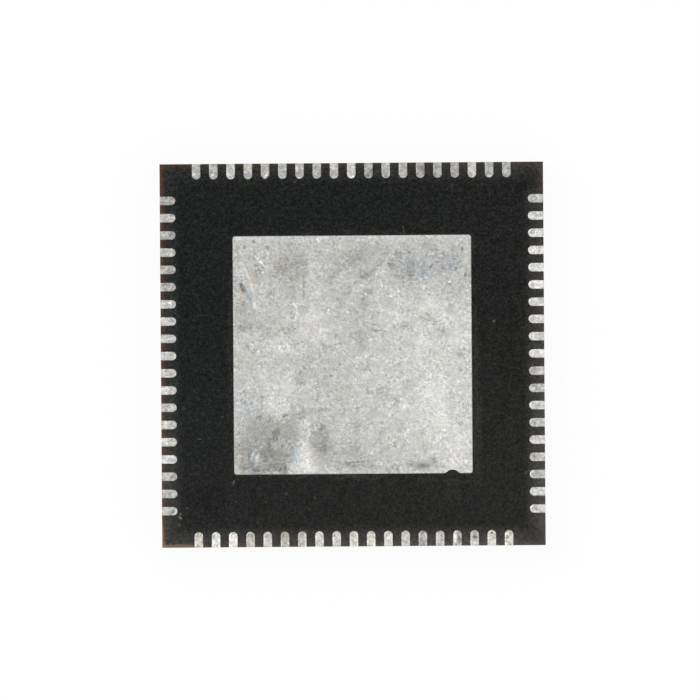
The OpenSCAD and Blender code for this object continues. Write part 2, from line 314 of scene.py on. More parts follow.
# Small marks of the pad
PAD_MARKS = mark_list(0.8, [
    # Upper left: the dark mark, the spots along the edge and the bare scrapes
    (-2550, 1550, 110, 57, -210, -62, 0.7), (-2590, 1625, 45, 40, -80), (-2552, 1640, 22, 26, 70, 0, 0.7),
    (-2430, 1380, 110, 70, -40, -60, 1), (-2372, 1245, 90, 22, -100, -82), (-2730, 1705, 55, 16, -130),
    (-2550, 1190, 50, 60, -60, 0, 0.9), (-2289, 2614, 40, 36, -220), (-1985, 2492, 36, 56, -160),
    (-2500, 2490, 50, 50, -130), (-1853, 2605, 34, 34, -80), (-1700, 2595, 40, 36, -95),
    (-1685, 2458, 36, 20, -70, -20), (-2400, 2237, 26, 60, -90), (-2285, 2225, 50, 40, -80),
    (-2050, 2290, 60, 45, -45, 30, 0.9), (-2255, 2067, 40, 36, -105), (-2180, 1980, 20, 50, -60, 10),
    (-2350, 1960, 20, 50, -50, -10), (-2128, 1945, 34, 30, -90), (-2095, 1898, 38, 26, 130, 10, 0.7),
    (-2140, 2145, 60, 32, 95, -42), (-2230, 2255, 70, 18, 60, -48), (-2050, 2065, 70, 18, 55, -38),
    (-2460, 1900, 270, 18, 80, -68), (-2340, 1600, 70, 22, 50, -72), (-2345, 1560, 20, 110, 60),
    (-2275, 1130, 36, 75, 75, -8), (-2220, 1235, 45, 30, 55), (-2665, 2690, 60, 30, 50, 10),
    (-2250, 2710, 60, 22, 50), (-2170, 2630, 36, 40, 50), (-2180, 2340, 34, 34, 50),
    (-1860, 2040, 24, 70, 50, 8), (-2580, 1930, 34, 34, 50), (-1830, 1825, 60, 26, -100, -30),
    (-1590, 1950, 50, 45, -38), (-1650, 1870, 40, 30, -50), (-1670, 2045, 40, 30, -40),
    (-1515, 2205, 36, 60, -55), (-1420, 1740, 55, 36, -22, -10), (-1105, 1680, 36, 34, -75),
    (-1905, 1425, 70, 34, -25, 15), (-1220, 2290, 120, 17, -90, 3), (-1440, 2560, 50, 45, -40),
    (-1070, 2030, 24, 260, -48, 2), (-1130, 1550, 24, 340, -42, -2, 0.9),
    (-1160, 1380, 45, 70, -32, 0, 0.9), (-1080, 1080, 50, 40, -34, 0, 0.9),
    (-1168, 1570, 26, 36, 85, 0, 0.7), (-1345, 1150, 70, 20, 120, -58, 0.7),
    (-1293, 1040, 20, 85, 120, 4, 0.7), (-1315, 860, 120, 28, 100, 70), (-960, 2060, 30, 30, 100, 0, 0.7),
    # Upper middle
    (-800, 2655, 65, 30, 200, -62, 0.7), (-770, 2385, 36, 34, -110), (-347, 1290, 45, 32, -80, -20),
    (-83, 1590, 30, 34, -65), (-190, 1380, 16, 60, -60, 12), (-570, 1350, 30, 36, -60),
    (-315, 1950, 50, 50, -30), (-495, 1760, 50, 100, -20, 0, 0.9), (-200, 2060, 40, 30, -55),
    (200, 2415, 30, 30, -70), (65, 1680, 50, 24, -115, 42, 0.7), (213, 1610, 58, 22, 170, -12, 0.6),
    (380, 1445, 80, 40, -60, -32), (225, 1300, 60, 34, -42), (310, 1160, 70, 34, -48, -10),
    (100, 980, 50, 60, -80), (307, 1400, 24, 45, 110, 20, 0.7), (610, 2090, 90, 26, -55, 42),
    (876, 2080, 34, 45, -95), (905, 2180, 18, 80, -70, -14), (676, 1593, 34, 30, 95, 0, 0.7),
    (676, 1930, 60, 24, 55, 36), (550, 1860, 70, 14, 50, 58, 0.7), (790, 2140, 90, 26, 30, 62),
    (907, 1370, 32, 30, 62, 0, 0.7), (-115, 1000, 26, 26, 160, 0, 0.6), (697, 1020, 34, 34, 65),
    (-547, 1030, 20, 34, 80, 0, 0.7), (-800, 1340, 60, 20, 50, 60), (-705, 1570, 30, 30, 60, 0, 0.7),
    (-335, 1570, 70, 16, 50, 50, 0.7),
    # Upper right
    (1303, 2375, 45, 55, -120), (1280, 2050, 22, 30, -75, 0, 0.7), (1410, 2110, 20, 60, -60),
    (1350, 1845, 80, 24, -70, -4), (1325, 1760, 55, 32, -140), (1114, 1790, 60, 45, -48, 20),
    (2537, 2460, 30, 48, -160, 12), (2607, 1855, 38, 48, -155), (2540, 1870, 14, 50, 50, 0, 0.7),
    (2363, 2220, 40, 30, -90, 10), (1980, 2150, 55, 26, -140, 10), (1830, 2060, 50, 26, -130, 60, 0.7),
    (2116, 1995, 55, 32, -55), (2400, 2020, 80, 36, -70, 76), (2105, 2340, 50, 34, -80, -30),
    (2200, 2470, 34, 26, -60), (2253, 1635, 70, 20, -110, -32), (2240, 1690, 50, 24, 110, 24, 0.7),
    (2570, 1580, 50, 34, -45, 0, 0.9), (2480, 1330, 130, 22, -50, -30), (1715, 2580, 90, 55, -30),
    (1780, 2435, 70, 28, -45), (1090, 2360, 50, 50, -45, 0, 0.9), (1200, 2585, 50, 28, -55),
    (1515, 1400, 40, 30, -60), (1745, 1410, 36, 32, -60), (1290, 1030, 50, 30, -60),
    (2506, 1075, 50, 24, -55, 30), (1745, 930, 50, 34, -110, -20), (2735, 1597, 30, 26, 150, 0, 0.6),
    (2650, 1490, 50, 20, 120, 0, 0.7), (1503, 2225, 26, 45, 130, 0, 0.7),
    (1145, 2055, 50, 18, 110, -14, 0.7), (2052, 2290, 36, 20, 75, 0, 0.7), (1650, 1525, 30, 28, 95, 0, 0.7),
    (1260, 1580, 36, 28, 75, 0, 0.7), (1890, 1930, 80, 20, 55, -40), (1050, 1455, 48, 30, 80),
    (2630, 2200, 45, 100, 45),
    # Left
    (-2360, 640, 30, 30, -80, 0, 0.7), (-2660, 650, 100, 50, -60, 10), (-2550, 570, 60, 28, -50, -5),
    (-1950, 600, 60, 26, -100, -20), (-1480, 570, 50, 36, -130, 40, 0.7), (-1620, 570, 45, 20, -75, 50),
    (-1300, 255, 65, 24, -80, 5, 0.7), (-1140, 300, 50, 20, -75, 15), (-1200, 600, 70, 50, 50, 20, 0.9),
    (-1650, 510, 34, 24, 80, 0, 0.7), (-1700, 180, 40, 45, 95, 0, 0.7), (-1640, 75, 30, 30, 80, 0, 0.7),
    (-2180, 60, 36, 40, 110, 0, 0.7), (-2300, 70, 70, 60, -70, 30, 0.9), (-2225, 140, 30, 24, -60),
    (-1210, -410, 70, 30, -120, 52, 0.7), (-1135, -320, 22, 50, -95, 10, 0.7),
    (-1130, -460, 50, 20, -60, -20), (-1170, -360, 18, 30, 60, 0, 0.7), (-1320, -570, 36, 60, -70, 10),
    (-1340, -300, 100, 20, 40, 52), (-2310, -100, 60, 60, -36, 0, 0.9), (-1970, -210, 24, 50, -55, 20),
    (-2540, -870, 50, 34, -75, -20), (-2540, -810, 34, 26, 60, 0, 0.7), (-2100, -980, 50, 36, -80, -20),
    (-2110, -1150, 34, 130, -40, 0, 0.9), (-2550, -1100, 90, 60, -30, 0, 0.9),
    (-2060, -1130, 30, 26, 85, 0, 0.7), (-1920, -1140, 30, 26, 80, 0, 0.7),
    # Middle
    (-390, 440, 24, 45, -130, 0, 0.7), (-640, 190, 70, 30, -56, -30), (-680, 250, 34, 30, -65),
    (-390, 260, 40, 20, -55), (-295, -220, 42, 40, -120), (-400, -340, 70, 18, -75, -34, 0.7),
    (-510, -500, 50, 36, -120), (-540, -100, 34, 34, -60), (-570, -680, 24, 70, -60),
    (450, 870, 22, 60, -110, -16, 0.7), (500, 690, 90, 22, -50, 8), (600, 567, 120, 28, -115, 5),
    (740, 550, 34, 24, -80, -30), (910, 490, 24, 24, -75, 0, 0.7), (200, 550, 130, 30, -35),
    (460, 400, 40, 14, -80, 25, 0.7), (410, 345, 55, 28, 95, 10), (355, 450, 15, 50, 70, 8, 0.7),
    (170, 700, 14, 80, 50, 0, 0.7), (180, -105, 26, 34, 130, 0, 0.7), (330, -20, 50, 55, 36, 30),
    (420, -250, 70, 40, -60, 10), (240, -220, 40, 40, -50), (770, -910, 60, 30, -46, 30),
    (660, -780, 100, 26, -65, 24), (-80, -750, 60, 22, -55, -15), (-680, -900, 26, 34, 85, 0, 0.7),
    (-550, -950, 45, 26, -70), (-970, -180, 80, 20, -60, -12),
    # Right
    (1190, 670, 110, 26, -80, 4, 0.7), (1090, 620, 60, 20, -60, 30), (1630, 860, 50, 36, -60),
    (1750, 810, 45, 50, -55), (1960, 730, 18, 60, -55), (2000, 585, 60, 36, -50, -10),
    (2100, 545, 60, 40, -75, -40), (1870, 550, 24, 26, -55), (2170, 290, 20, 60, -55, -20),
    (2410, 360, 45, 50, 50, 30), (2480, 25, 80, 55, -75), (2550, 15, 30, 20, -60, 0, 0.7),
    (2250, -250, 50, 34, -80, -20), (2235, -160, 16, 40, -50, 0, 0.7), (2520, -360, 50, 42, -65, 0, 0.9),
    (2700, 80, 30, 45, -65, 0, 0.7), (2620, -70, 40, 20, -55), (2700, -750, 26, 34, -70, 0, 0.7),
    (1060, -230, 70, 55, -50), (1150, -420, 36, 36, -25), (1040, -370, 60, 16, -55),
    (1060, -540, 34, 24, -110, -30, 0.7), (1170, -660, 36, 34, -55), (1250, -780, 50, 34, -55),
    (1340, -620, 36, 30, -50), (1580, -500, 45, 36, -50), (1090, -745, 60, 18, 60, 25),
    (2440, -610, 40, 50, 95, 10, 0.7), (1780, -950, 40, 28, 75, 0, 0.7), (2050, -500, 36, 26, 50, 30),
    (2100, -1150, 50, 40, 45), (2100, -1365, 45, 36, 20), (2270, -880, 50, 40, -60, 20),
    (2575, -1130, 24, 34, -55),
    # The stain in the lower left, and beside it
    (-1560, -1415, 80, 38, -170, 24), (-1270, -1280, 150, 150, -35, 0, 0.3), (-1275, -1270, 50, 70, 62),
    (-1140, -1270, 26, 75, -45, -10), (-1220, -1470, 60, 50, -60), (-1220, -1130, 150, 18, 35, -32),
    (-2180, -1465, 70, 34, -105, 10), (-1930, -1500, 30, 70, -60, 20), (-2420, -1740, 60, 50, -60, 0, 0.9),
    (-2230, -2685, 80, 34, -160, 0, 0.7), (-2480, -2640, 50, 40, -80), (-1920, -2560, 60, 34, -90, 10),
    (-1660, -2630, 120, 34, -36, -8, 0.9), (-2040, -2460, 50, 34, -80), (-2400, -2330, 26, 60, -80, -10),
    (-2310, -2310, 52, 24, 160, 66), (-2190, -2340, 70, 24, 140, 62), (-2235, -2470, 130, 30, 100, 84, 0.9),
    (-2340, -2420, 26, 40, 70), (-1905, -2430, 26, 50, 60), (-1790, -2200, 30, 30, 70, 0, 0.7),
    (-2290, -2170, 34, 24, 70, 0, 0.7), (-2055, -1900, 30, 26, 60, 0, 0.7),
    (-1630, -1790, 36, 26, 75, 0, 0.7), (-1605, -1575, 32, 26, 140, 10, 0.6),
    (-2090, -1550, 30, 24, 85, 0, 0.7), (-1800, -1570, 30, 26, 75, 0, 0.7),
    (-2060, -1320, 26, 24, 75, 0, 0.7), (-1840, -2735, 140, 22, 40), (-725, -1700, 36, 80, -36, -8),
    (-660, -1960, 70, 70, -36, 0, 0.9), (-865, -1680, 110, 18, 85, -66, 0.7),
    (-1025, -1760, 26, 190, 75, 2), (-690, -1280, 90, 40, -45, 10), (-570, -1200, 18, 36, 80, 0, 0.7),
    (-680, -1040, 60, 60, 35, 0, 0.9),
    # Lower middle
    (70, -2487, 170, 18, -150, 2, 0.7), (-60, -2560, 120, 60, -75, -10, 0.9),
    (-50, -2440, 110, 14, 60, 0, 0.7), (-400, -2470, 50, 22, -80, 20), (210, -2620, 50, 30, 60, -20),
    (430, -2600, 100, 20, -55, 34), (500, -2640, 70, 50, -30, 0, 0.9), (640, -2560, 80, 22, 55),
    (720, -2660, 22, 60, 50), (925, -2600, 34, 36, -95, 0, 0.7), (460, -2250, 28, 56, 75),
    (570, -2260, 24, 50, 50), (800, -2280, 80, 36, 60, -10), (660, -2270, 18, 70, -70, -14),
    (720, -2180, 90, 20, -65, 10), (410, -1830, 60, 26, 60), (390, -1920, 34, 24, 60, 0, 0.7),
    (380, -1640, 26, 45, 50), (140, -1840, 30, 36, -60), (100, -1670, 80, 36, -45),
    (690, -1580, 55, 36, -85), (640, -1810, 40, 24, -65, 30), (920, -1420, 24, 50, -70, 10),
    (530, -1230, 36, 80, -55, 10), (190, -1140, 50, 34, 60), (860, -1390, 34, 34, 60),
    (860, -1150, 50, 24, 50, -20), (330, -1390, 30, 34, 60, 0, 0.7),
    # Lower right
    (1620, -2580, 160, 58, -155, 4, 1), (1520, -2530, 80, 34, -60, 0, 0.9), (1330, -2555, 60, 34, -62, -25),
    (1920, -2470, 70, 50, -75, 20, 0.9), (1960, -2600, 40, 40, -50, 0, 0.9),
    (1030, -2650, 50, 40, -70, 0, 0.9), (1690, -2250, 40, 50, -75, -20), (1000, -2040, 34, 36, -90),
    (1150, -2100, 40, 50, -75), (1210, -2240, 45, 34, -55, 30), (1110, -1740, 55, 34, -60, 15),
    (1080, -1540, 70, 26, -45), (1300, -1350, 34, 40, -50), (985, -1090, 32, 70, -80, -6),
    (2510, -1590, 66, 42, -120, -14), (2440, -1560, 40, 34, -60), (2520, -1490, 120, 14, 60, 12, 0.7),
    (2740, -2330, 36, 34, -60), (2450, -2330, 50, 50, -40, 0, 0.9), (2110, -2590, 45, 36, -45, 0, 0.9),
    (1855, -1565, 34, 26, 80, 0, 0.7), (2350, -1685, 36, 36, 80, 0, 0.7),
    (2630, -2460, 34, 50, 100, 0, 0.7), (2090, -1740, 45, 36, 40), (2170, -1800, 26, 34, -55),
    (2320, -2470, 24, 80, 40), (1300, -1750, 34, 26, 60, 0, 0.7), (1055, -1375, 34, 26, 65, 0, 0.7),
])
# Scratches and a ridge of the pad, which its surface has as well
PAD_SCRATCHES = mark_list(0.7, [
    (-2490, 255, 170, 14, -85, -56), (-2410, 190, 150, 16, -110, -58), (-2290, 235, 60, 16, -110, -60),
    (-2450, 270, 150, 13, 70, -56), (-2330, 215, 100, 15, 100, -58), (-2560, 330, 120, 13, 45, -52),
    (-400, -2620, 300, 14, -35, 3), (-2290, 1340, 250, 14, 60, -81), (-2150, 2150, 180, 14, 34, -45),
    (-1150, 1600, 360, 13, -50, 88), (210, 1040, 220, 12, 45, 16),
])
# Where the tin is warmer, and with a strength below 0 where it is bluer
WARM_SPOTS = mark_list(0.9, [
    (-2300, 1840, 80, 110, 30), (-2570, 1300, 70, 150, 28, 0, 0.8), (-2560, 1220, 60, 70, 14, 0, 0.8),
    (-1660, 2060, 180, 180, 7), (820, 2160, 60, 90, 18), (670, 1600, 60, 50, 14),
    (-2540, -2560, 100, 170, 22, 0, 1), (-1000, -2460, 200, 220, 10), (-1600, -1360, 160, 120, 10),
    (-1340, -2360, 110, 340, -20, 4, 1), (-2240, -2440, 80, 160, -20), (-2500, -1250, 240, 620, -7, 0, 1),
    (-2390, 1300, 60, 190, -26, 8), (-1380, 980, 50, 150, -18, 0, 0.8), (1700, 2070, 760, 300, -8, 0, 1),
    (450, 1760, 60, 150, -20), (-480, 1740, 60, 180, -14), (1650, 1950, 220, 130, -12),
    (2320, 2030, 100, 100, -16),
])

# How the tin of single terminals and of whole rows differs, along the part's own axes
TERMINAL_MARKS = mark_list(0.3, [
    (0, 4270, 4600, 500, -83), (-2800, 4270, 150, 300, 100), (-2400, 4270, 150, 300, 18),
    (-1600, 4270, 150, 300, 54), (-1200, 4270, 150, 300, 25), (2400, 4270, 150, 300, -30),
    (-400, 4270, 150, 300, 45), (0, 4270, 150, 300, 90), (400, 4270, 150, 300, -30),
    (2800, 4270, 150, 300, 60), (3600, 4270, 150, 300, -20), (1850, 4270, 600, 300, -30),
    (-3000, -4270, 340, 300, 100), (-1450, -4270, 300, 300, -60), (600, -4270, 320, 300, 55),
    (-2400, -4270, 150, 300, -35), (-600, -4270, 320, 300, 36), (0, -4270, 150, 300, 38),
    (1600, -4270, 150, 300, -80), (2000, -4270, 150, 300, -45), (2400, -4270, 150, 300, -30),
    (2350, -4230, 32, 130, 190, 0, 0.7), (2440, -4310, 45, 90, -170, 0, 0.7), (3400, -4270, 320, 300, 40),
    (-4270, -2000, 300, 620, 45, 0, 0.4), (-4270, -1600, 300, 520, -38), (-4270, -2800, 300, 150, -30),
    (-4270, -600, 300, 340, 20), (-4270, 2600, 300, 1300, -45, 0, 0.4), (-4270, 1400, 300, 320, -38),
    (-4270, 2400, 300, 150, 28), (-4270, 2800, 300, 150, -48), (-4270, 3600, 300, 150, -75),
    (-4270, -3000, 300, 320, -40), (4270, 0, 500, 4600, 20), (4270, 2400, 300, 1000, 60, 0, 0.4),
    (4270, 0, 300, 150, 50), (4270, -2400, 300, 150, 34), (4270, 600, 300, 320, 28),
    (4270, 1600, 300, 150, 24), (4270, 2800, 300, 150, -36), (4270, 3600, 300, 150, -46),
    (4270, -2600, 300, 320, -50), (4270, -600, 300, 320, -40),
    # Pits, bright grains and stains on single terminals
    (-4200, -3610, 45, 45, -190, 0, 0.8), (-4120, 1600, 50, 90, -80, 0, 0.8),
    (-4240, 1240, 50, 30, 160, 0, 0.7), (2800, -4255, 55, 40, -190, 0, 0.8),
    (2800, -4190, 30, 40, -120, 0, 0.7), (3200, -4155, 30, 26, -230, 0, 0.7),
    (3560, -4250, 30, 45, -170, 0, 0.8), (3630, -4200, 26, 30, -150, 0, 0.8),
    (3585, -4320, 26, 26, 140, 0, 0.7), (4225, -3610, 35, 45, -90, 0, 0.8),
    (4270, -2790, 40, 40, -80, 0, 0.8), (4190, -2420, 22, 50, -130, 0, 0.7),
    (4205, -1610, 20, 50, -150, 0, 0.7), (4300, -1210, 18, 50, -80, 0, 0.8),
    (4255, -830, 30, 30, -80, 0, 0.8), (-3220, 4200, 40, 30, 120, 0, 0.7),
    (-1970, 4180, 40, 30, 140, 0, 0.7), (50, 4140, 25, 40, 120, 0, 0.7), (380, 4180, 40, 60, -60, 0, 0.8),
    (-4200, 400, 60, 40, 80, 0, 0.8), (2830, 4200, 45, 60, 80, 0, 0.7),
    (-2085, 4110, 70, 35, -300, -52, 0.6), (-1925, 4120, 70, 40, -340, 52, 0.6),
    (-1995, 4140, 45, 30, 120, 0, 0.8),
])

# The moulding's board side: specks and worn places, scratches, and a stain on one corner
MOULD_MARKS = mark_list(0.5, [
    (-3250, -3380, 360, 340, -16, 0, 0.8), (-4360, 4400, 160, 140, 35, 0, 0.9),
    (4360, 4420, 160, 140, 25, 0, 0.9), (4100, 4060, 240, 240, -34, 0, 1),
    (4160, -4160, 260, 260, -30, 0, 1), (-2760, -2990, 40, 35, 180, 0, 0.6),
    (-2700, -3400, 30, 30, 70, 0, 0.6), (-3330, -3950, 40, 30, 60, 0, 0.7),
    (-3010, -4030, 30, 30, 60, 0, 0.7), (-3550, -1970, 35, 35, 200), (3270, 750, 40, 30, 220),
    (-1540, -3240, 40, 30, 100), (-880, -3310, 35, 30, 100, 45), (-2950, 400, 30, 30, 80),
    (-3020, -1450, 40, 40, 80), (-3450, -2620, 30, 30, 70), (-3920, -1250, 50, 50, 70, 0, 0.6),
    (2950, 2100, 35, 25, 60), (2350, 3920, 40, 30, 75), (850, 3600, 45, 30, 80), (1620, 3100, 40, 30, 60),
    (-1350, 4060, 50, 35, 80, 20, 0.6), (-2350, 3980, 100, 30, 65, 15, 0.6),
    (-1000, 2840, 180, 35, 45, 2, 0.8), (-200, 2870, 240, 45, 48, 0, 0.9), (800, 2860, 400, 40, 40, 0, 0.8),
    (-1180, -2840, 140, 40, 50, 10, 0.8), (200, -2860, 600, 40, 45, 0, 0.8),
    (1720, -2870, 260, 50, 32, 0, 0.8), (2320, -2960, 180, 80, 30, 0, 0.9),
    (2330, -3250, 140, 180, 18, 10, 1), (2900, -1700, 90, 1100, 45, 0, 1),
    (2860, 200, 50, 1000, 40, 0, 0.8), (-2850, 200, 40, 1700, 35, 0, 0.8),
    (200, -3950, 180, 25, 60, -14, 0.6),
])
MOULD_SCRATCHES = mark_list(0.7, [
    (-3985, -3690, 40, 24, 150, 65, 0.5), (-4005, -3790, 55, 28, 230, -28, 0.5),
    (-3840, -3570, 40, 24, 110, 40, 0.6), (-4020, -3950, 30, 30, 100, 0, 0.6),
    (1180, 2910, 120, 12, 150, -76), (1680, 2960, 60, 12, 100, -80, 0.6), (880, 3800, 280, 12, 50, -80),
    (2280, 3750, 330, 12, 50, 88), (2050, 3100, 160, 12, 40, -50), (-3700, -1500, 170, 14, 65, -14, 0.6),
    (4060, -2720, 120, 20, 80, 24), (-4100, 950, 120, 16, 60, -30, 0.6), (-3550, 920, 200, 12, 40, -5),
    (-1100, -4100, 120, 12, 50, -20),
])
CORNER_STAIN = mark_list(0.7, [
    (-4455, -4220, 75, 340, 1000), (-4050, -4455, 460, 50, 800), (-4430, -4430, 120, 100, 500, 45, 0.8),
])


def turned(paint):
    """Places along the photo's axes, which are turned against the part's, without height."""
    inputs = {"Vector": paint.place, "Rotation": (0, 0, ROLL)}
    return paint.flat(paint.node("Mapping", inputs, vector_type="POINT").outputs[0])


def grain(paint, scales, amounts):
    """Speckle of two sizes, as a change of level."""
    pairs = zip(scales, amounts)
    return paint.total(*[paint.swing(paint.place, scale, amount, 1.0) for scale, amount in pairs])


def patches(paint, place):
    """How strong the speckle is, from place to place."""
    return paint.step(paint.noise(place, 3.2, 1.0), 0.38, 0.62, 0.62, 1.30)


def ridge_highlights(paint, place):
    """Painted highlights: fine lines that wander over the tin, lighter where raised lines would catch the
    light.
    """
    away = paint.size(paint.math("SUBTRACT", paint.noise(place, 7.5, 1.0), 0.5))
    return paint.math("SUBTRACT", paint.step(away, 0.045, 0.0), 0.30)


def saw_lines(paint, along, through):
    """Lines along the cut, from 0 to 1, with waves a millimetre along it and through the height."""
    return paint.noise(paint.vector("MULTIPLY", paint.place, (along, along, through)), 1.0, 2.0)


def matte_tin(paint, colour, roughness, *raised):
    """The tin's common surface, with anything raised added to its height."""
    height = paint.total(
        paint.noise(paint.place, 13, 2.0),
        paint.times(paint.noise(paint.place, 40, 1.0), 0.5),
        *raised,
    )
    return paint.finish(
        Base_Color=colour,
        Metallic=0.85,
        Roughness=paint.total(paint.swing(paint.place, 8, 0.05, 2.0), roughness),
        Normal=paint.bump(height, 2.2),
    )


def pad_tin():
    paint = Paint("matte_tin_pad")
    place = turned(paint)
    loose = paint.warp(paint.warp(place, 4.0, 0.055, 2.0), 13.0, 0.045, 1.0)
    tight = paint.warp(place, 12.0, 0.012)
    across, along, _ = paint.split(place)
    # The lower part is lighter, most on the right: partly the tin's own tone and partly painted light
    lower = paint.step(along, 1.9, 0.7)
    level = paint.total(
        PAD_LEVEL,
        # A painted highlight along the top rim
        paint.step(along, 2.52, 2.76, 0.0, 0.030),
        paint.times(paint.step(across, -0.6, 2.0, 0.0, 0.050), lower),
        paint.times(lower, 0.012),
        paint.swing(place, 2.0, 0.012, 1.0),
        paint.swing(place, 5.5, 0.032, 2.0),
        paint.times(grain(paint, TIN_GRAIN, (0.056, 0.069)), patches(paint, place)),
        # Painted highlights along fine wandering lines
        paint.times(ridge_highlights(paint, tight), 0.040),
    )
    # The marks are totalled from zero, because Cycles would otherwise hold all their parts at once
    fine_marks = paint.spots(tight, PAD_MARKS + PAD_SCRATCHES, 0.0)
    level = paint.spots(loose, PAD_CLOUDS, paint.plus(level, fine_marks, 0.93))
    level = paint.plus(level, paint.dots(7.5, 0.022, 0.22), 0.050)
    level = paint.plus(level, paint.dots(6.1, 0.025, 0.14), -0.030)
    # The rim: a painted highlight first, and then painted shade where the tin turns down
    _, _, far = paint.reach()
    level = paint.plus(level, paint.step(far, PAD_HALF - 0.050, PAD_HALF - 0.025), 0.030)
    level = paint.plus(level, paint.step(far, PAD_HALF - 0.030, PAD_HALF - 0.006), -0.13)
    warm = paint.spots(loose, WARM_SPOTS, 0.0)
    red = paint.plus(paint.swing(place, 2.7, 0.006, 1.0), warm, 0.9)
    blue = paint.plus(paint.swing(place, 2.4, 0.008, 1.0), warm, -0.7)
    red = paint.total(red, 0.0012)
    blue = paint.math("SUBTRACT", blue, 0.0105)
    scratches = paint.spots(tight, PAD_SCRATCHES, 0.0)
    return matte_tin(paint, paint.tone(level, red, blue), 0.58, scratches)


def terminal_tin():
    paint = Paint("matte_tin_terminals")
    # Place in one terminal: out is towards the sawn side, and across is from its middle line
    x, y, out = paint.reach()
    on_y_side = paint.math("GREATER_THAN", paint.size(y), paint.size(x))
    on_x_side = paint.math("SUBTRACT", 1.0, on_y_side)
    run = paint.total(paint.times(on_y_side, x), paint.times(on_x_side, y))
    number = paint.math("ROUND", paint.math("DIVIDE", run, PITCH))
    across = paint.size(paint.math("SUBTRACT", run, paint.times(number, PITCH)))
    lowest_row = paint.math("LESS_THAN", y, -BODY_HALF + 0.5)
    # Painted highlights along each terminal's sides, stronger on the lowest row
    side_highlight = paint.times(paint.plus(0.010, lowest_row, 0.042), paint.step(across, 0.040, 0.088))
    # Painted highlight at each terminal's rounded inner end; on the lowest row the end is darker instead
    at_end = paint.step(out, BODY_HALF - 0.29, BODY_HALF - 0.34)
    inner_end_light = paint.times(paint.plus(0.050, lowest_row, -0.095), at_end)
    # Each terminal has a level and a tint of its own
    side = paint.total(paint.math("SIGN", x), paint.times(paint.math("SIGN", y), 3.0))
    side = paint.total(side, paint.times(on_y_side, 7.0))
    key = paint.node("CombineXYZ", {0: number, 1: side}).outputs[0]
    own = paint.node("TexWhiteNoise", {"Vector": key}, noise_dimensions="3D").outputs
    level = paint.total(
        TERMINAL_LEVEL,
        paint.plus(-0.025, own["Value"], 0.050),
        side_highlight,
        inner_end_light,
        paint.step(out, 4.12, 4.42, -0.012, 0.034, "LINEAR"),
        grain(paint, TIN_GRAIN, (0.084, 0.092)),
        paint.swing(paint.place, 7.0, 0.080, 1.0),
    )
    level = paint.spots(paint.flat(paint.place), TERMINAL_MARKS, level)
    level = paint.plus(level, paint.step(out, BODY_HALF - 0.05, BODY_HALF), -0.03)
    tint = paint.split(own["Color"])[1]
    red = paint.plus(paint.swing(paint.place, 5.0, 0.010), lowest_row, 0.009)
    blue = paint.total(
        -0.014,
        paint.plus(0.007, tint, -0.014),
        paint.times(lowest_row, -0.007),
        paint.swing(paint.place, 4.0, 0.008),
    )
    return matte_tin(paint, paint.tone(level, red, blue), 0.56)


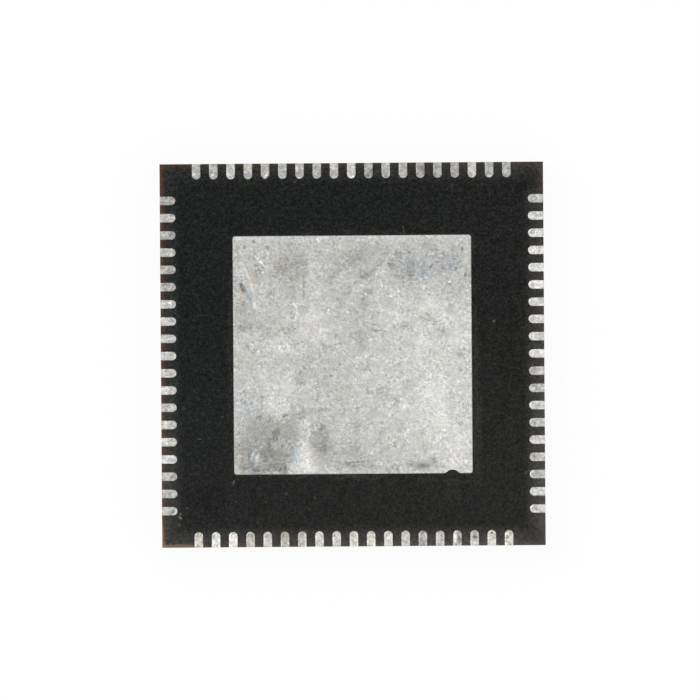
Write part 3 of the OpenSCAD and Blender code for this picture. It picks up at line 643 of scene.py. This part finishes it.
def mould():
    paint = Paint("mould_compound")
    place = turned(paint)
    up = paint.up()
    top = paint.math("GREATER_THAN", up, FACING)
    under = paint.math("LESS_THAN", up, -FACING)
    side = paint.math("SUBTRACT", 1.0, paint.total(top, under), clamp=True)
    x, y, far = paint.reach()
    # Filler grain, everywhere, on a level with painted light, lighter towards the bottom and the right
    across, along, _ = paint.split(place)
    speckle = grain(paint, FILLER_GRAIN, (0.028, 0.055))
    level = paint.total(
        MOULD_LEVEL,
        # Painted light: lighter towards the bottom and, less, towards the right
        paint.step(along, 2.0, -4.0, 0.0, 0.0245),
        paint.step(across, 0.0, 4.0, 0.0, 0.008),
        paint.times(speckle, paint.step(along, -4.0, 4.0, 0.92, 1.20)),
        paint.swing(place, 1.3, 0.006, 2.0),
    )
    specks = paint.plus(level, paint.dots(5.0, 0.024, 0.20), 0.055)
    specks = paint.plus(specks, paint.dots(2.7, 0.030, 0.10), 0.080)
    # The board side: worn paler towards the sawn outline, more so towards the lower right as painted light,
    # with marks and scratches
    loose = paint.warp(paint.warp(place, 5.0, 0.05, 1.0), 16.0, 0.03)
    tight = paint.warp(place, 14.0, 0.012)
    outwards = paint.step(far, BODY_HALF - 0.52, BODY_HALF, kind="LINEAR")
    worn = paint.times(outwards, paint.total(paint.noise(place, 6.0, 2.0), 0.5))
    # Painted light: how much paler the worn band is grows towards the lower right
    lower_right = paint.math("SUBTRACT", paint.times(x, 0.0035), paint.times(y, 0.0060))
    face = paint.plus(specks, worn, paint.total(lower_right, 0.085))
    between_terminals = paint.step(far, 3.98, 4.12, 0.0, 0.022)
    beside_pad = paint.step(far, PAD_HALF + 0.10, PAD_HALF, 0.0, 0.022)
    face = paint.total(face, between_terminals, beside_pad)
    face = paint.spots(loose, MOULD_MARKS, face)
    face = paint.spots(tight, MOULD_SCRATCHES, face)
    # Brown along the cut edge, most on the left, and a pale stain on one corner
    brown = paint.times(
        paint.step(far, BODY_HALF - 0.14, BODY_HALF),
        paint.step(paint.noise(place, 5.0, 2.0), 0.20, 0.80, 0.3, 1.0),
    )
    leftness = paint.step(x, -BODY_HALF, -BODY_HALF + 0.2, 0.85, 0.35)
    rightness = paint.step(x, BODY_HALF - 0.2, BODY_HALF, 1.0, 0.3)
    brown = paint.times(brown, paint.times(leftness, rightness))
    stain = paint.spots(tight, CORNER_STAIN, 0.0)
    # The sawn sides: cut filler shows as pale specks, with fine lines along the cut
    line = saw_lines(paint, 1.2, 90.0)
    cut_filler = paint.times(paint.dots(16, 0.014, 0.35), 0.080)
    sawn = paint.total(specks, 0.030, paint.plus(-0.030, line, 0.060), cut_filler)
    # The marked face: an even moulded texture, and smooth in the round mark
    from_mark = paint.vector("DISTANCE", paint.flat(paint.place), (*PIN_MARK_AT, 0))
    in_mark = paint.math("LESS_THAN", from_mark, PIN_MARK_R)
    below = paint.total(specks, 0.012)
    shown = paint.total(paint.times(face, top), paint.times(sawn, side), paint.times(below, under))
    # Greener towards the photo's upper left, and warmer where it is worn
    to_lower_right = paint.vector("DOT_PRODUCT", place, (1, -1, 0))
    red = paint.total(
        paint.step(to_lower_right, -5.0, 5.0, -0.0095, -0.0005),
        paint.swing(place, 8.0, 0.004),
        paint.times(outwards, 0.010),
    )
    blue = paint.total(-0.0055, paint.swing(place, 7.1, 0.005), paint.times(outwards, -0.004))
    colour = paint.mix(paint.times(brown, top), paint.tone(shown, red, blue), BROWN_EDGE)
    stained = paint.math("MULTIPLY", stain, paint.times(top, 0.8), clamp=True)
    texture = paint.total(
        paint.noise(paint.place, 14, 3.0),
        paint.times(paint.times(line, side), 1.5),
        paint.times(paint.noise(paint.place, 24, 2.0), paint.times(under, 1.5)),
    )
    smooth = paint.times(paint.times(in_mark, under), -0.25)
    return paint.finish(
        Base_Color=paint.mix(stained, colour, PALE_STAIN),
        Roughness=paint.total(0.72, paint.swing(paint.place, 10, 0.05), smooth),
        Specular_IOR_Level=0.10,
        Normal=paint.bump(texture, 3.0),
    )


def copper():
    paint = Paint("copper")
    _, _, far = paint.reach()
    end = paint.math("GREATER_THAN", far, BODY_HALF - 0.002)
    line = saw_lines(paint, 3.0, 110.0)
    etched = paint.noise(paint.place, 18, 3.0)
    dull = paint.step(paint.noise(paint.place, 3.5, 3.0), 0.40, 0.68)
    bright = paint.mix(line, (0.70, 0.36, 0.22, 1), (0.88, 0.56, 0.40, 1))
    bright = paint.mix(paint.times(dull, 0.65), bright, (0.30, 0.13, 0.07, 1))
    plain = paint.mix(etched, (0.62, 0.31, 0.19, 1), (0.80, 0.46, 0.31, 1))
    height = paint.total(paint.times(line, end), paint.times(etched, 1.5))
    return paint.finish(
        Base_Color=paint.mix(end, plain, bright),
        Metallic=1.0,
        Roughness=paint.plus(0.38, dull, 0.20),
        Normal=paint.bump(height, 1.5),
    )


def silicon():
    paint = Paint("silicon")
    down = paint.math("LESS_THAN", paint.up(), -FACING)
    # The circuit side: blocks of other tints, finer cells, and a row of bond pads on each side
    place = paint.flat(paint.place)
    hue = paint.split(paint.cells(place, 2.4, distance="CHEBYCHEV")["Color"])[0]
    cells = paint.cells(place, 14.0, distance="MANHATTAN")["Distance"]
    circuit = paint.mix(hue, (0.10, 0.13, 0.22, 1), (0.24, 0.20, 0.17, 1))
    circuit = paint.mix(paint.step(cells, 0.1, 0.9, 0.0, 0.5), circuit, (0.33, 0.35, 0.36, 1))
    x, y, far = paint.reach()
    near = paint.math("MINIMUM", paint.size(x), paint.size(y))
    nearest = paint.math("PINGPONG", paint.total(near, BOND_PITCH / 2), BOND_PITCH / 2)
    in_row = paint.math("COMPARE", far, BOND_LINE, BOND_HALF)
    in_pad = paint.math("GREATER_THAN", nearest, BOND_PITCH / 2 - BOND_HALF)
    bond = paint.times(paint.times(in_row, in_pad), down)
    bare = paint.mix(paint.noise(paint.place, 9, 3.0), (0.15, 0.16, 0.19, 1), (0.22, 0.23, 0.27, 1))
    return paint.finish(
        Base_Color=paint.mix(bond, paint.mix(down, bare, circuit), (0.80, 0.80, 0.81, 1)),
        Metallic=paint.plus(0.3, bond, 0.6),
        Roughness=paint.plus(0.16, paint.noise(paint.place, 6, 2.0), 0.12),
    )


def silver_epoxy():
    paint = Paint("silver_epoxy")
    flakes = paint.split(paint.cells(paint.place, 60.0)["Color"])[0]
    return paint.finish(
        Base_Color=paint.mix(flakes, (0.36, 0.35, 0.33, 1), (0.62, 0.62, 0.60, 1)),
        Metallic=0.55,
        Roughness=paint.plus(0.45, flakes, 0.2),
        Normal=paint.bump(paint.total(flakes, paint.noise(paint.place, 9, 2.0)), 3.0),
    )


def gold():
    paint = Paint("gold")
    fine = paint.noise(paint.place, 45, 2.0)
    return paint.finish(
        Base_Color=paint.mix(fine, (0.78, 0.54, 0.18, 1), (0.95, 0.72, 0.34, 1)),
        Metallic=1.0,
        Roughness=paint.plus(0.18, paint.noise(paint.place, 5, 1.0), 0.15),
        Normal=paint.bump(fine, 0.6),
    )


def dress():
    """Each node's material, by the start of its name."""
    metal = copper()
    looks = {
        "mould_body": mould(),
        "pad_plating": pad_tin(),
        "plating_side": terminal_tin(),
        "die_paddle": metal,
        "leads_side": metal,
        "silicon_die": silicon(),
        "die_attach": silver_epoxy(),
        "bond_wires_side": gold(),
    }
    for name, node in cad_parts.items():
        look = next(look for start, look in looks.items() if name.startswith(start))
        for slot in node.material_slots:
            slot.material = look


def world_light():
    """An even light, and white for the eye."""
    world = bpy.data.worlds.new("studio")
    bpy.context.scene.world = world
    world.use_nodes = True
    nodes = Nodes(world.node_tree)
    light = nodes.tree.nodes["Background"].inputs
    light["Color"].default_value = (1, 1, 1, 1)
    nodes.join(nodes.step(nodes.seen_by_eye(), 0.0, 1.0, AMBIENT, 1.0, "LINEAR"), light["Strength"])


def lamps():
    """Square lamps that face the part's middle."""
    for name, (place, size, watts) in LAMPS.items():
        lamp = bpy.data.lights.new(name, "AREA")
        lamp.shape = "SQUARE"
        lamp.size = size
        lamp.energy = watts
        obj = bpy.data.objects.new(name, lamp)
        bpy.context.scene.collection.objects.link(obj)
        obj.location = place
        obj.rotation_euler = (-Vector(place)).to_track_quat("-Z", "Y").to_euler()
        obj.visible_camera = False


def ground():
    """White paper under the part, which keeps a little of its shadow."""
    bpy.ops.mesh.primitive_plane_add(size=FLOOR_SIDE, location=(0, 0, 0))
    floor = bpy.context.object
    floor.name = "floor"
    paper = bpy.data.materials.new("paper")
    paper.use_nodes = True
    nodes = Nodes(paper.node_tree)
    nodes.tree.nodes.clear()
    diffuse = nodes.node("BsdfDiffuse", {"Color": (PAPER, PAPER, PAPER, 1)}).outputs[0]
    white = nodes.node("Emission", {"Strength": 1.0}).outputs[0]
    share = nodes.times(nodes.seen_by_eye(), GLOW)
    blend = nodes.node("MixShader", {0: share, 1: diffuse, 2: white}).outputs[0]
    nodes.node("OutputMaterial", {"Surface": blend})
    floor.data.materials.append(paper)


def camera():
    """Straight above the part, as the photo was taken."""
    data = bpy.data.cameras.new("camera")
    data.lens = LENS
    data.sensor_width = SENSOR
    data.clip_start, data.clip_end = CLIP
    eye = bpy.data.objects.new("camera", data)
    bpy.context.scene.collection.objects.link(eye)
    right = (PHOTO_SIDE / 2 - BODY_AT[0]) / PX_PER_MM
    up = (BODY_AT[1] - PHOTO_SIDE / 2) / PX_PER_MM
    width = PHOTO_SIDE / PX_PER_MM
    turn = Euler((0, 0, -ROLL))
    spot = Vector((right, up, TIN_TOP + width * LENS / SENSOR))
    spot.rotate(turn)
    eye.location = spot * MM
    eye.rotation_euler = turn
    bpy.context.scene.camera = eye


camera()
bpy.context.scene.view_settings.view_transform = "Standard"
world_light()
lamps()
ground()
dress()
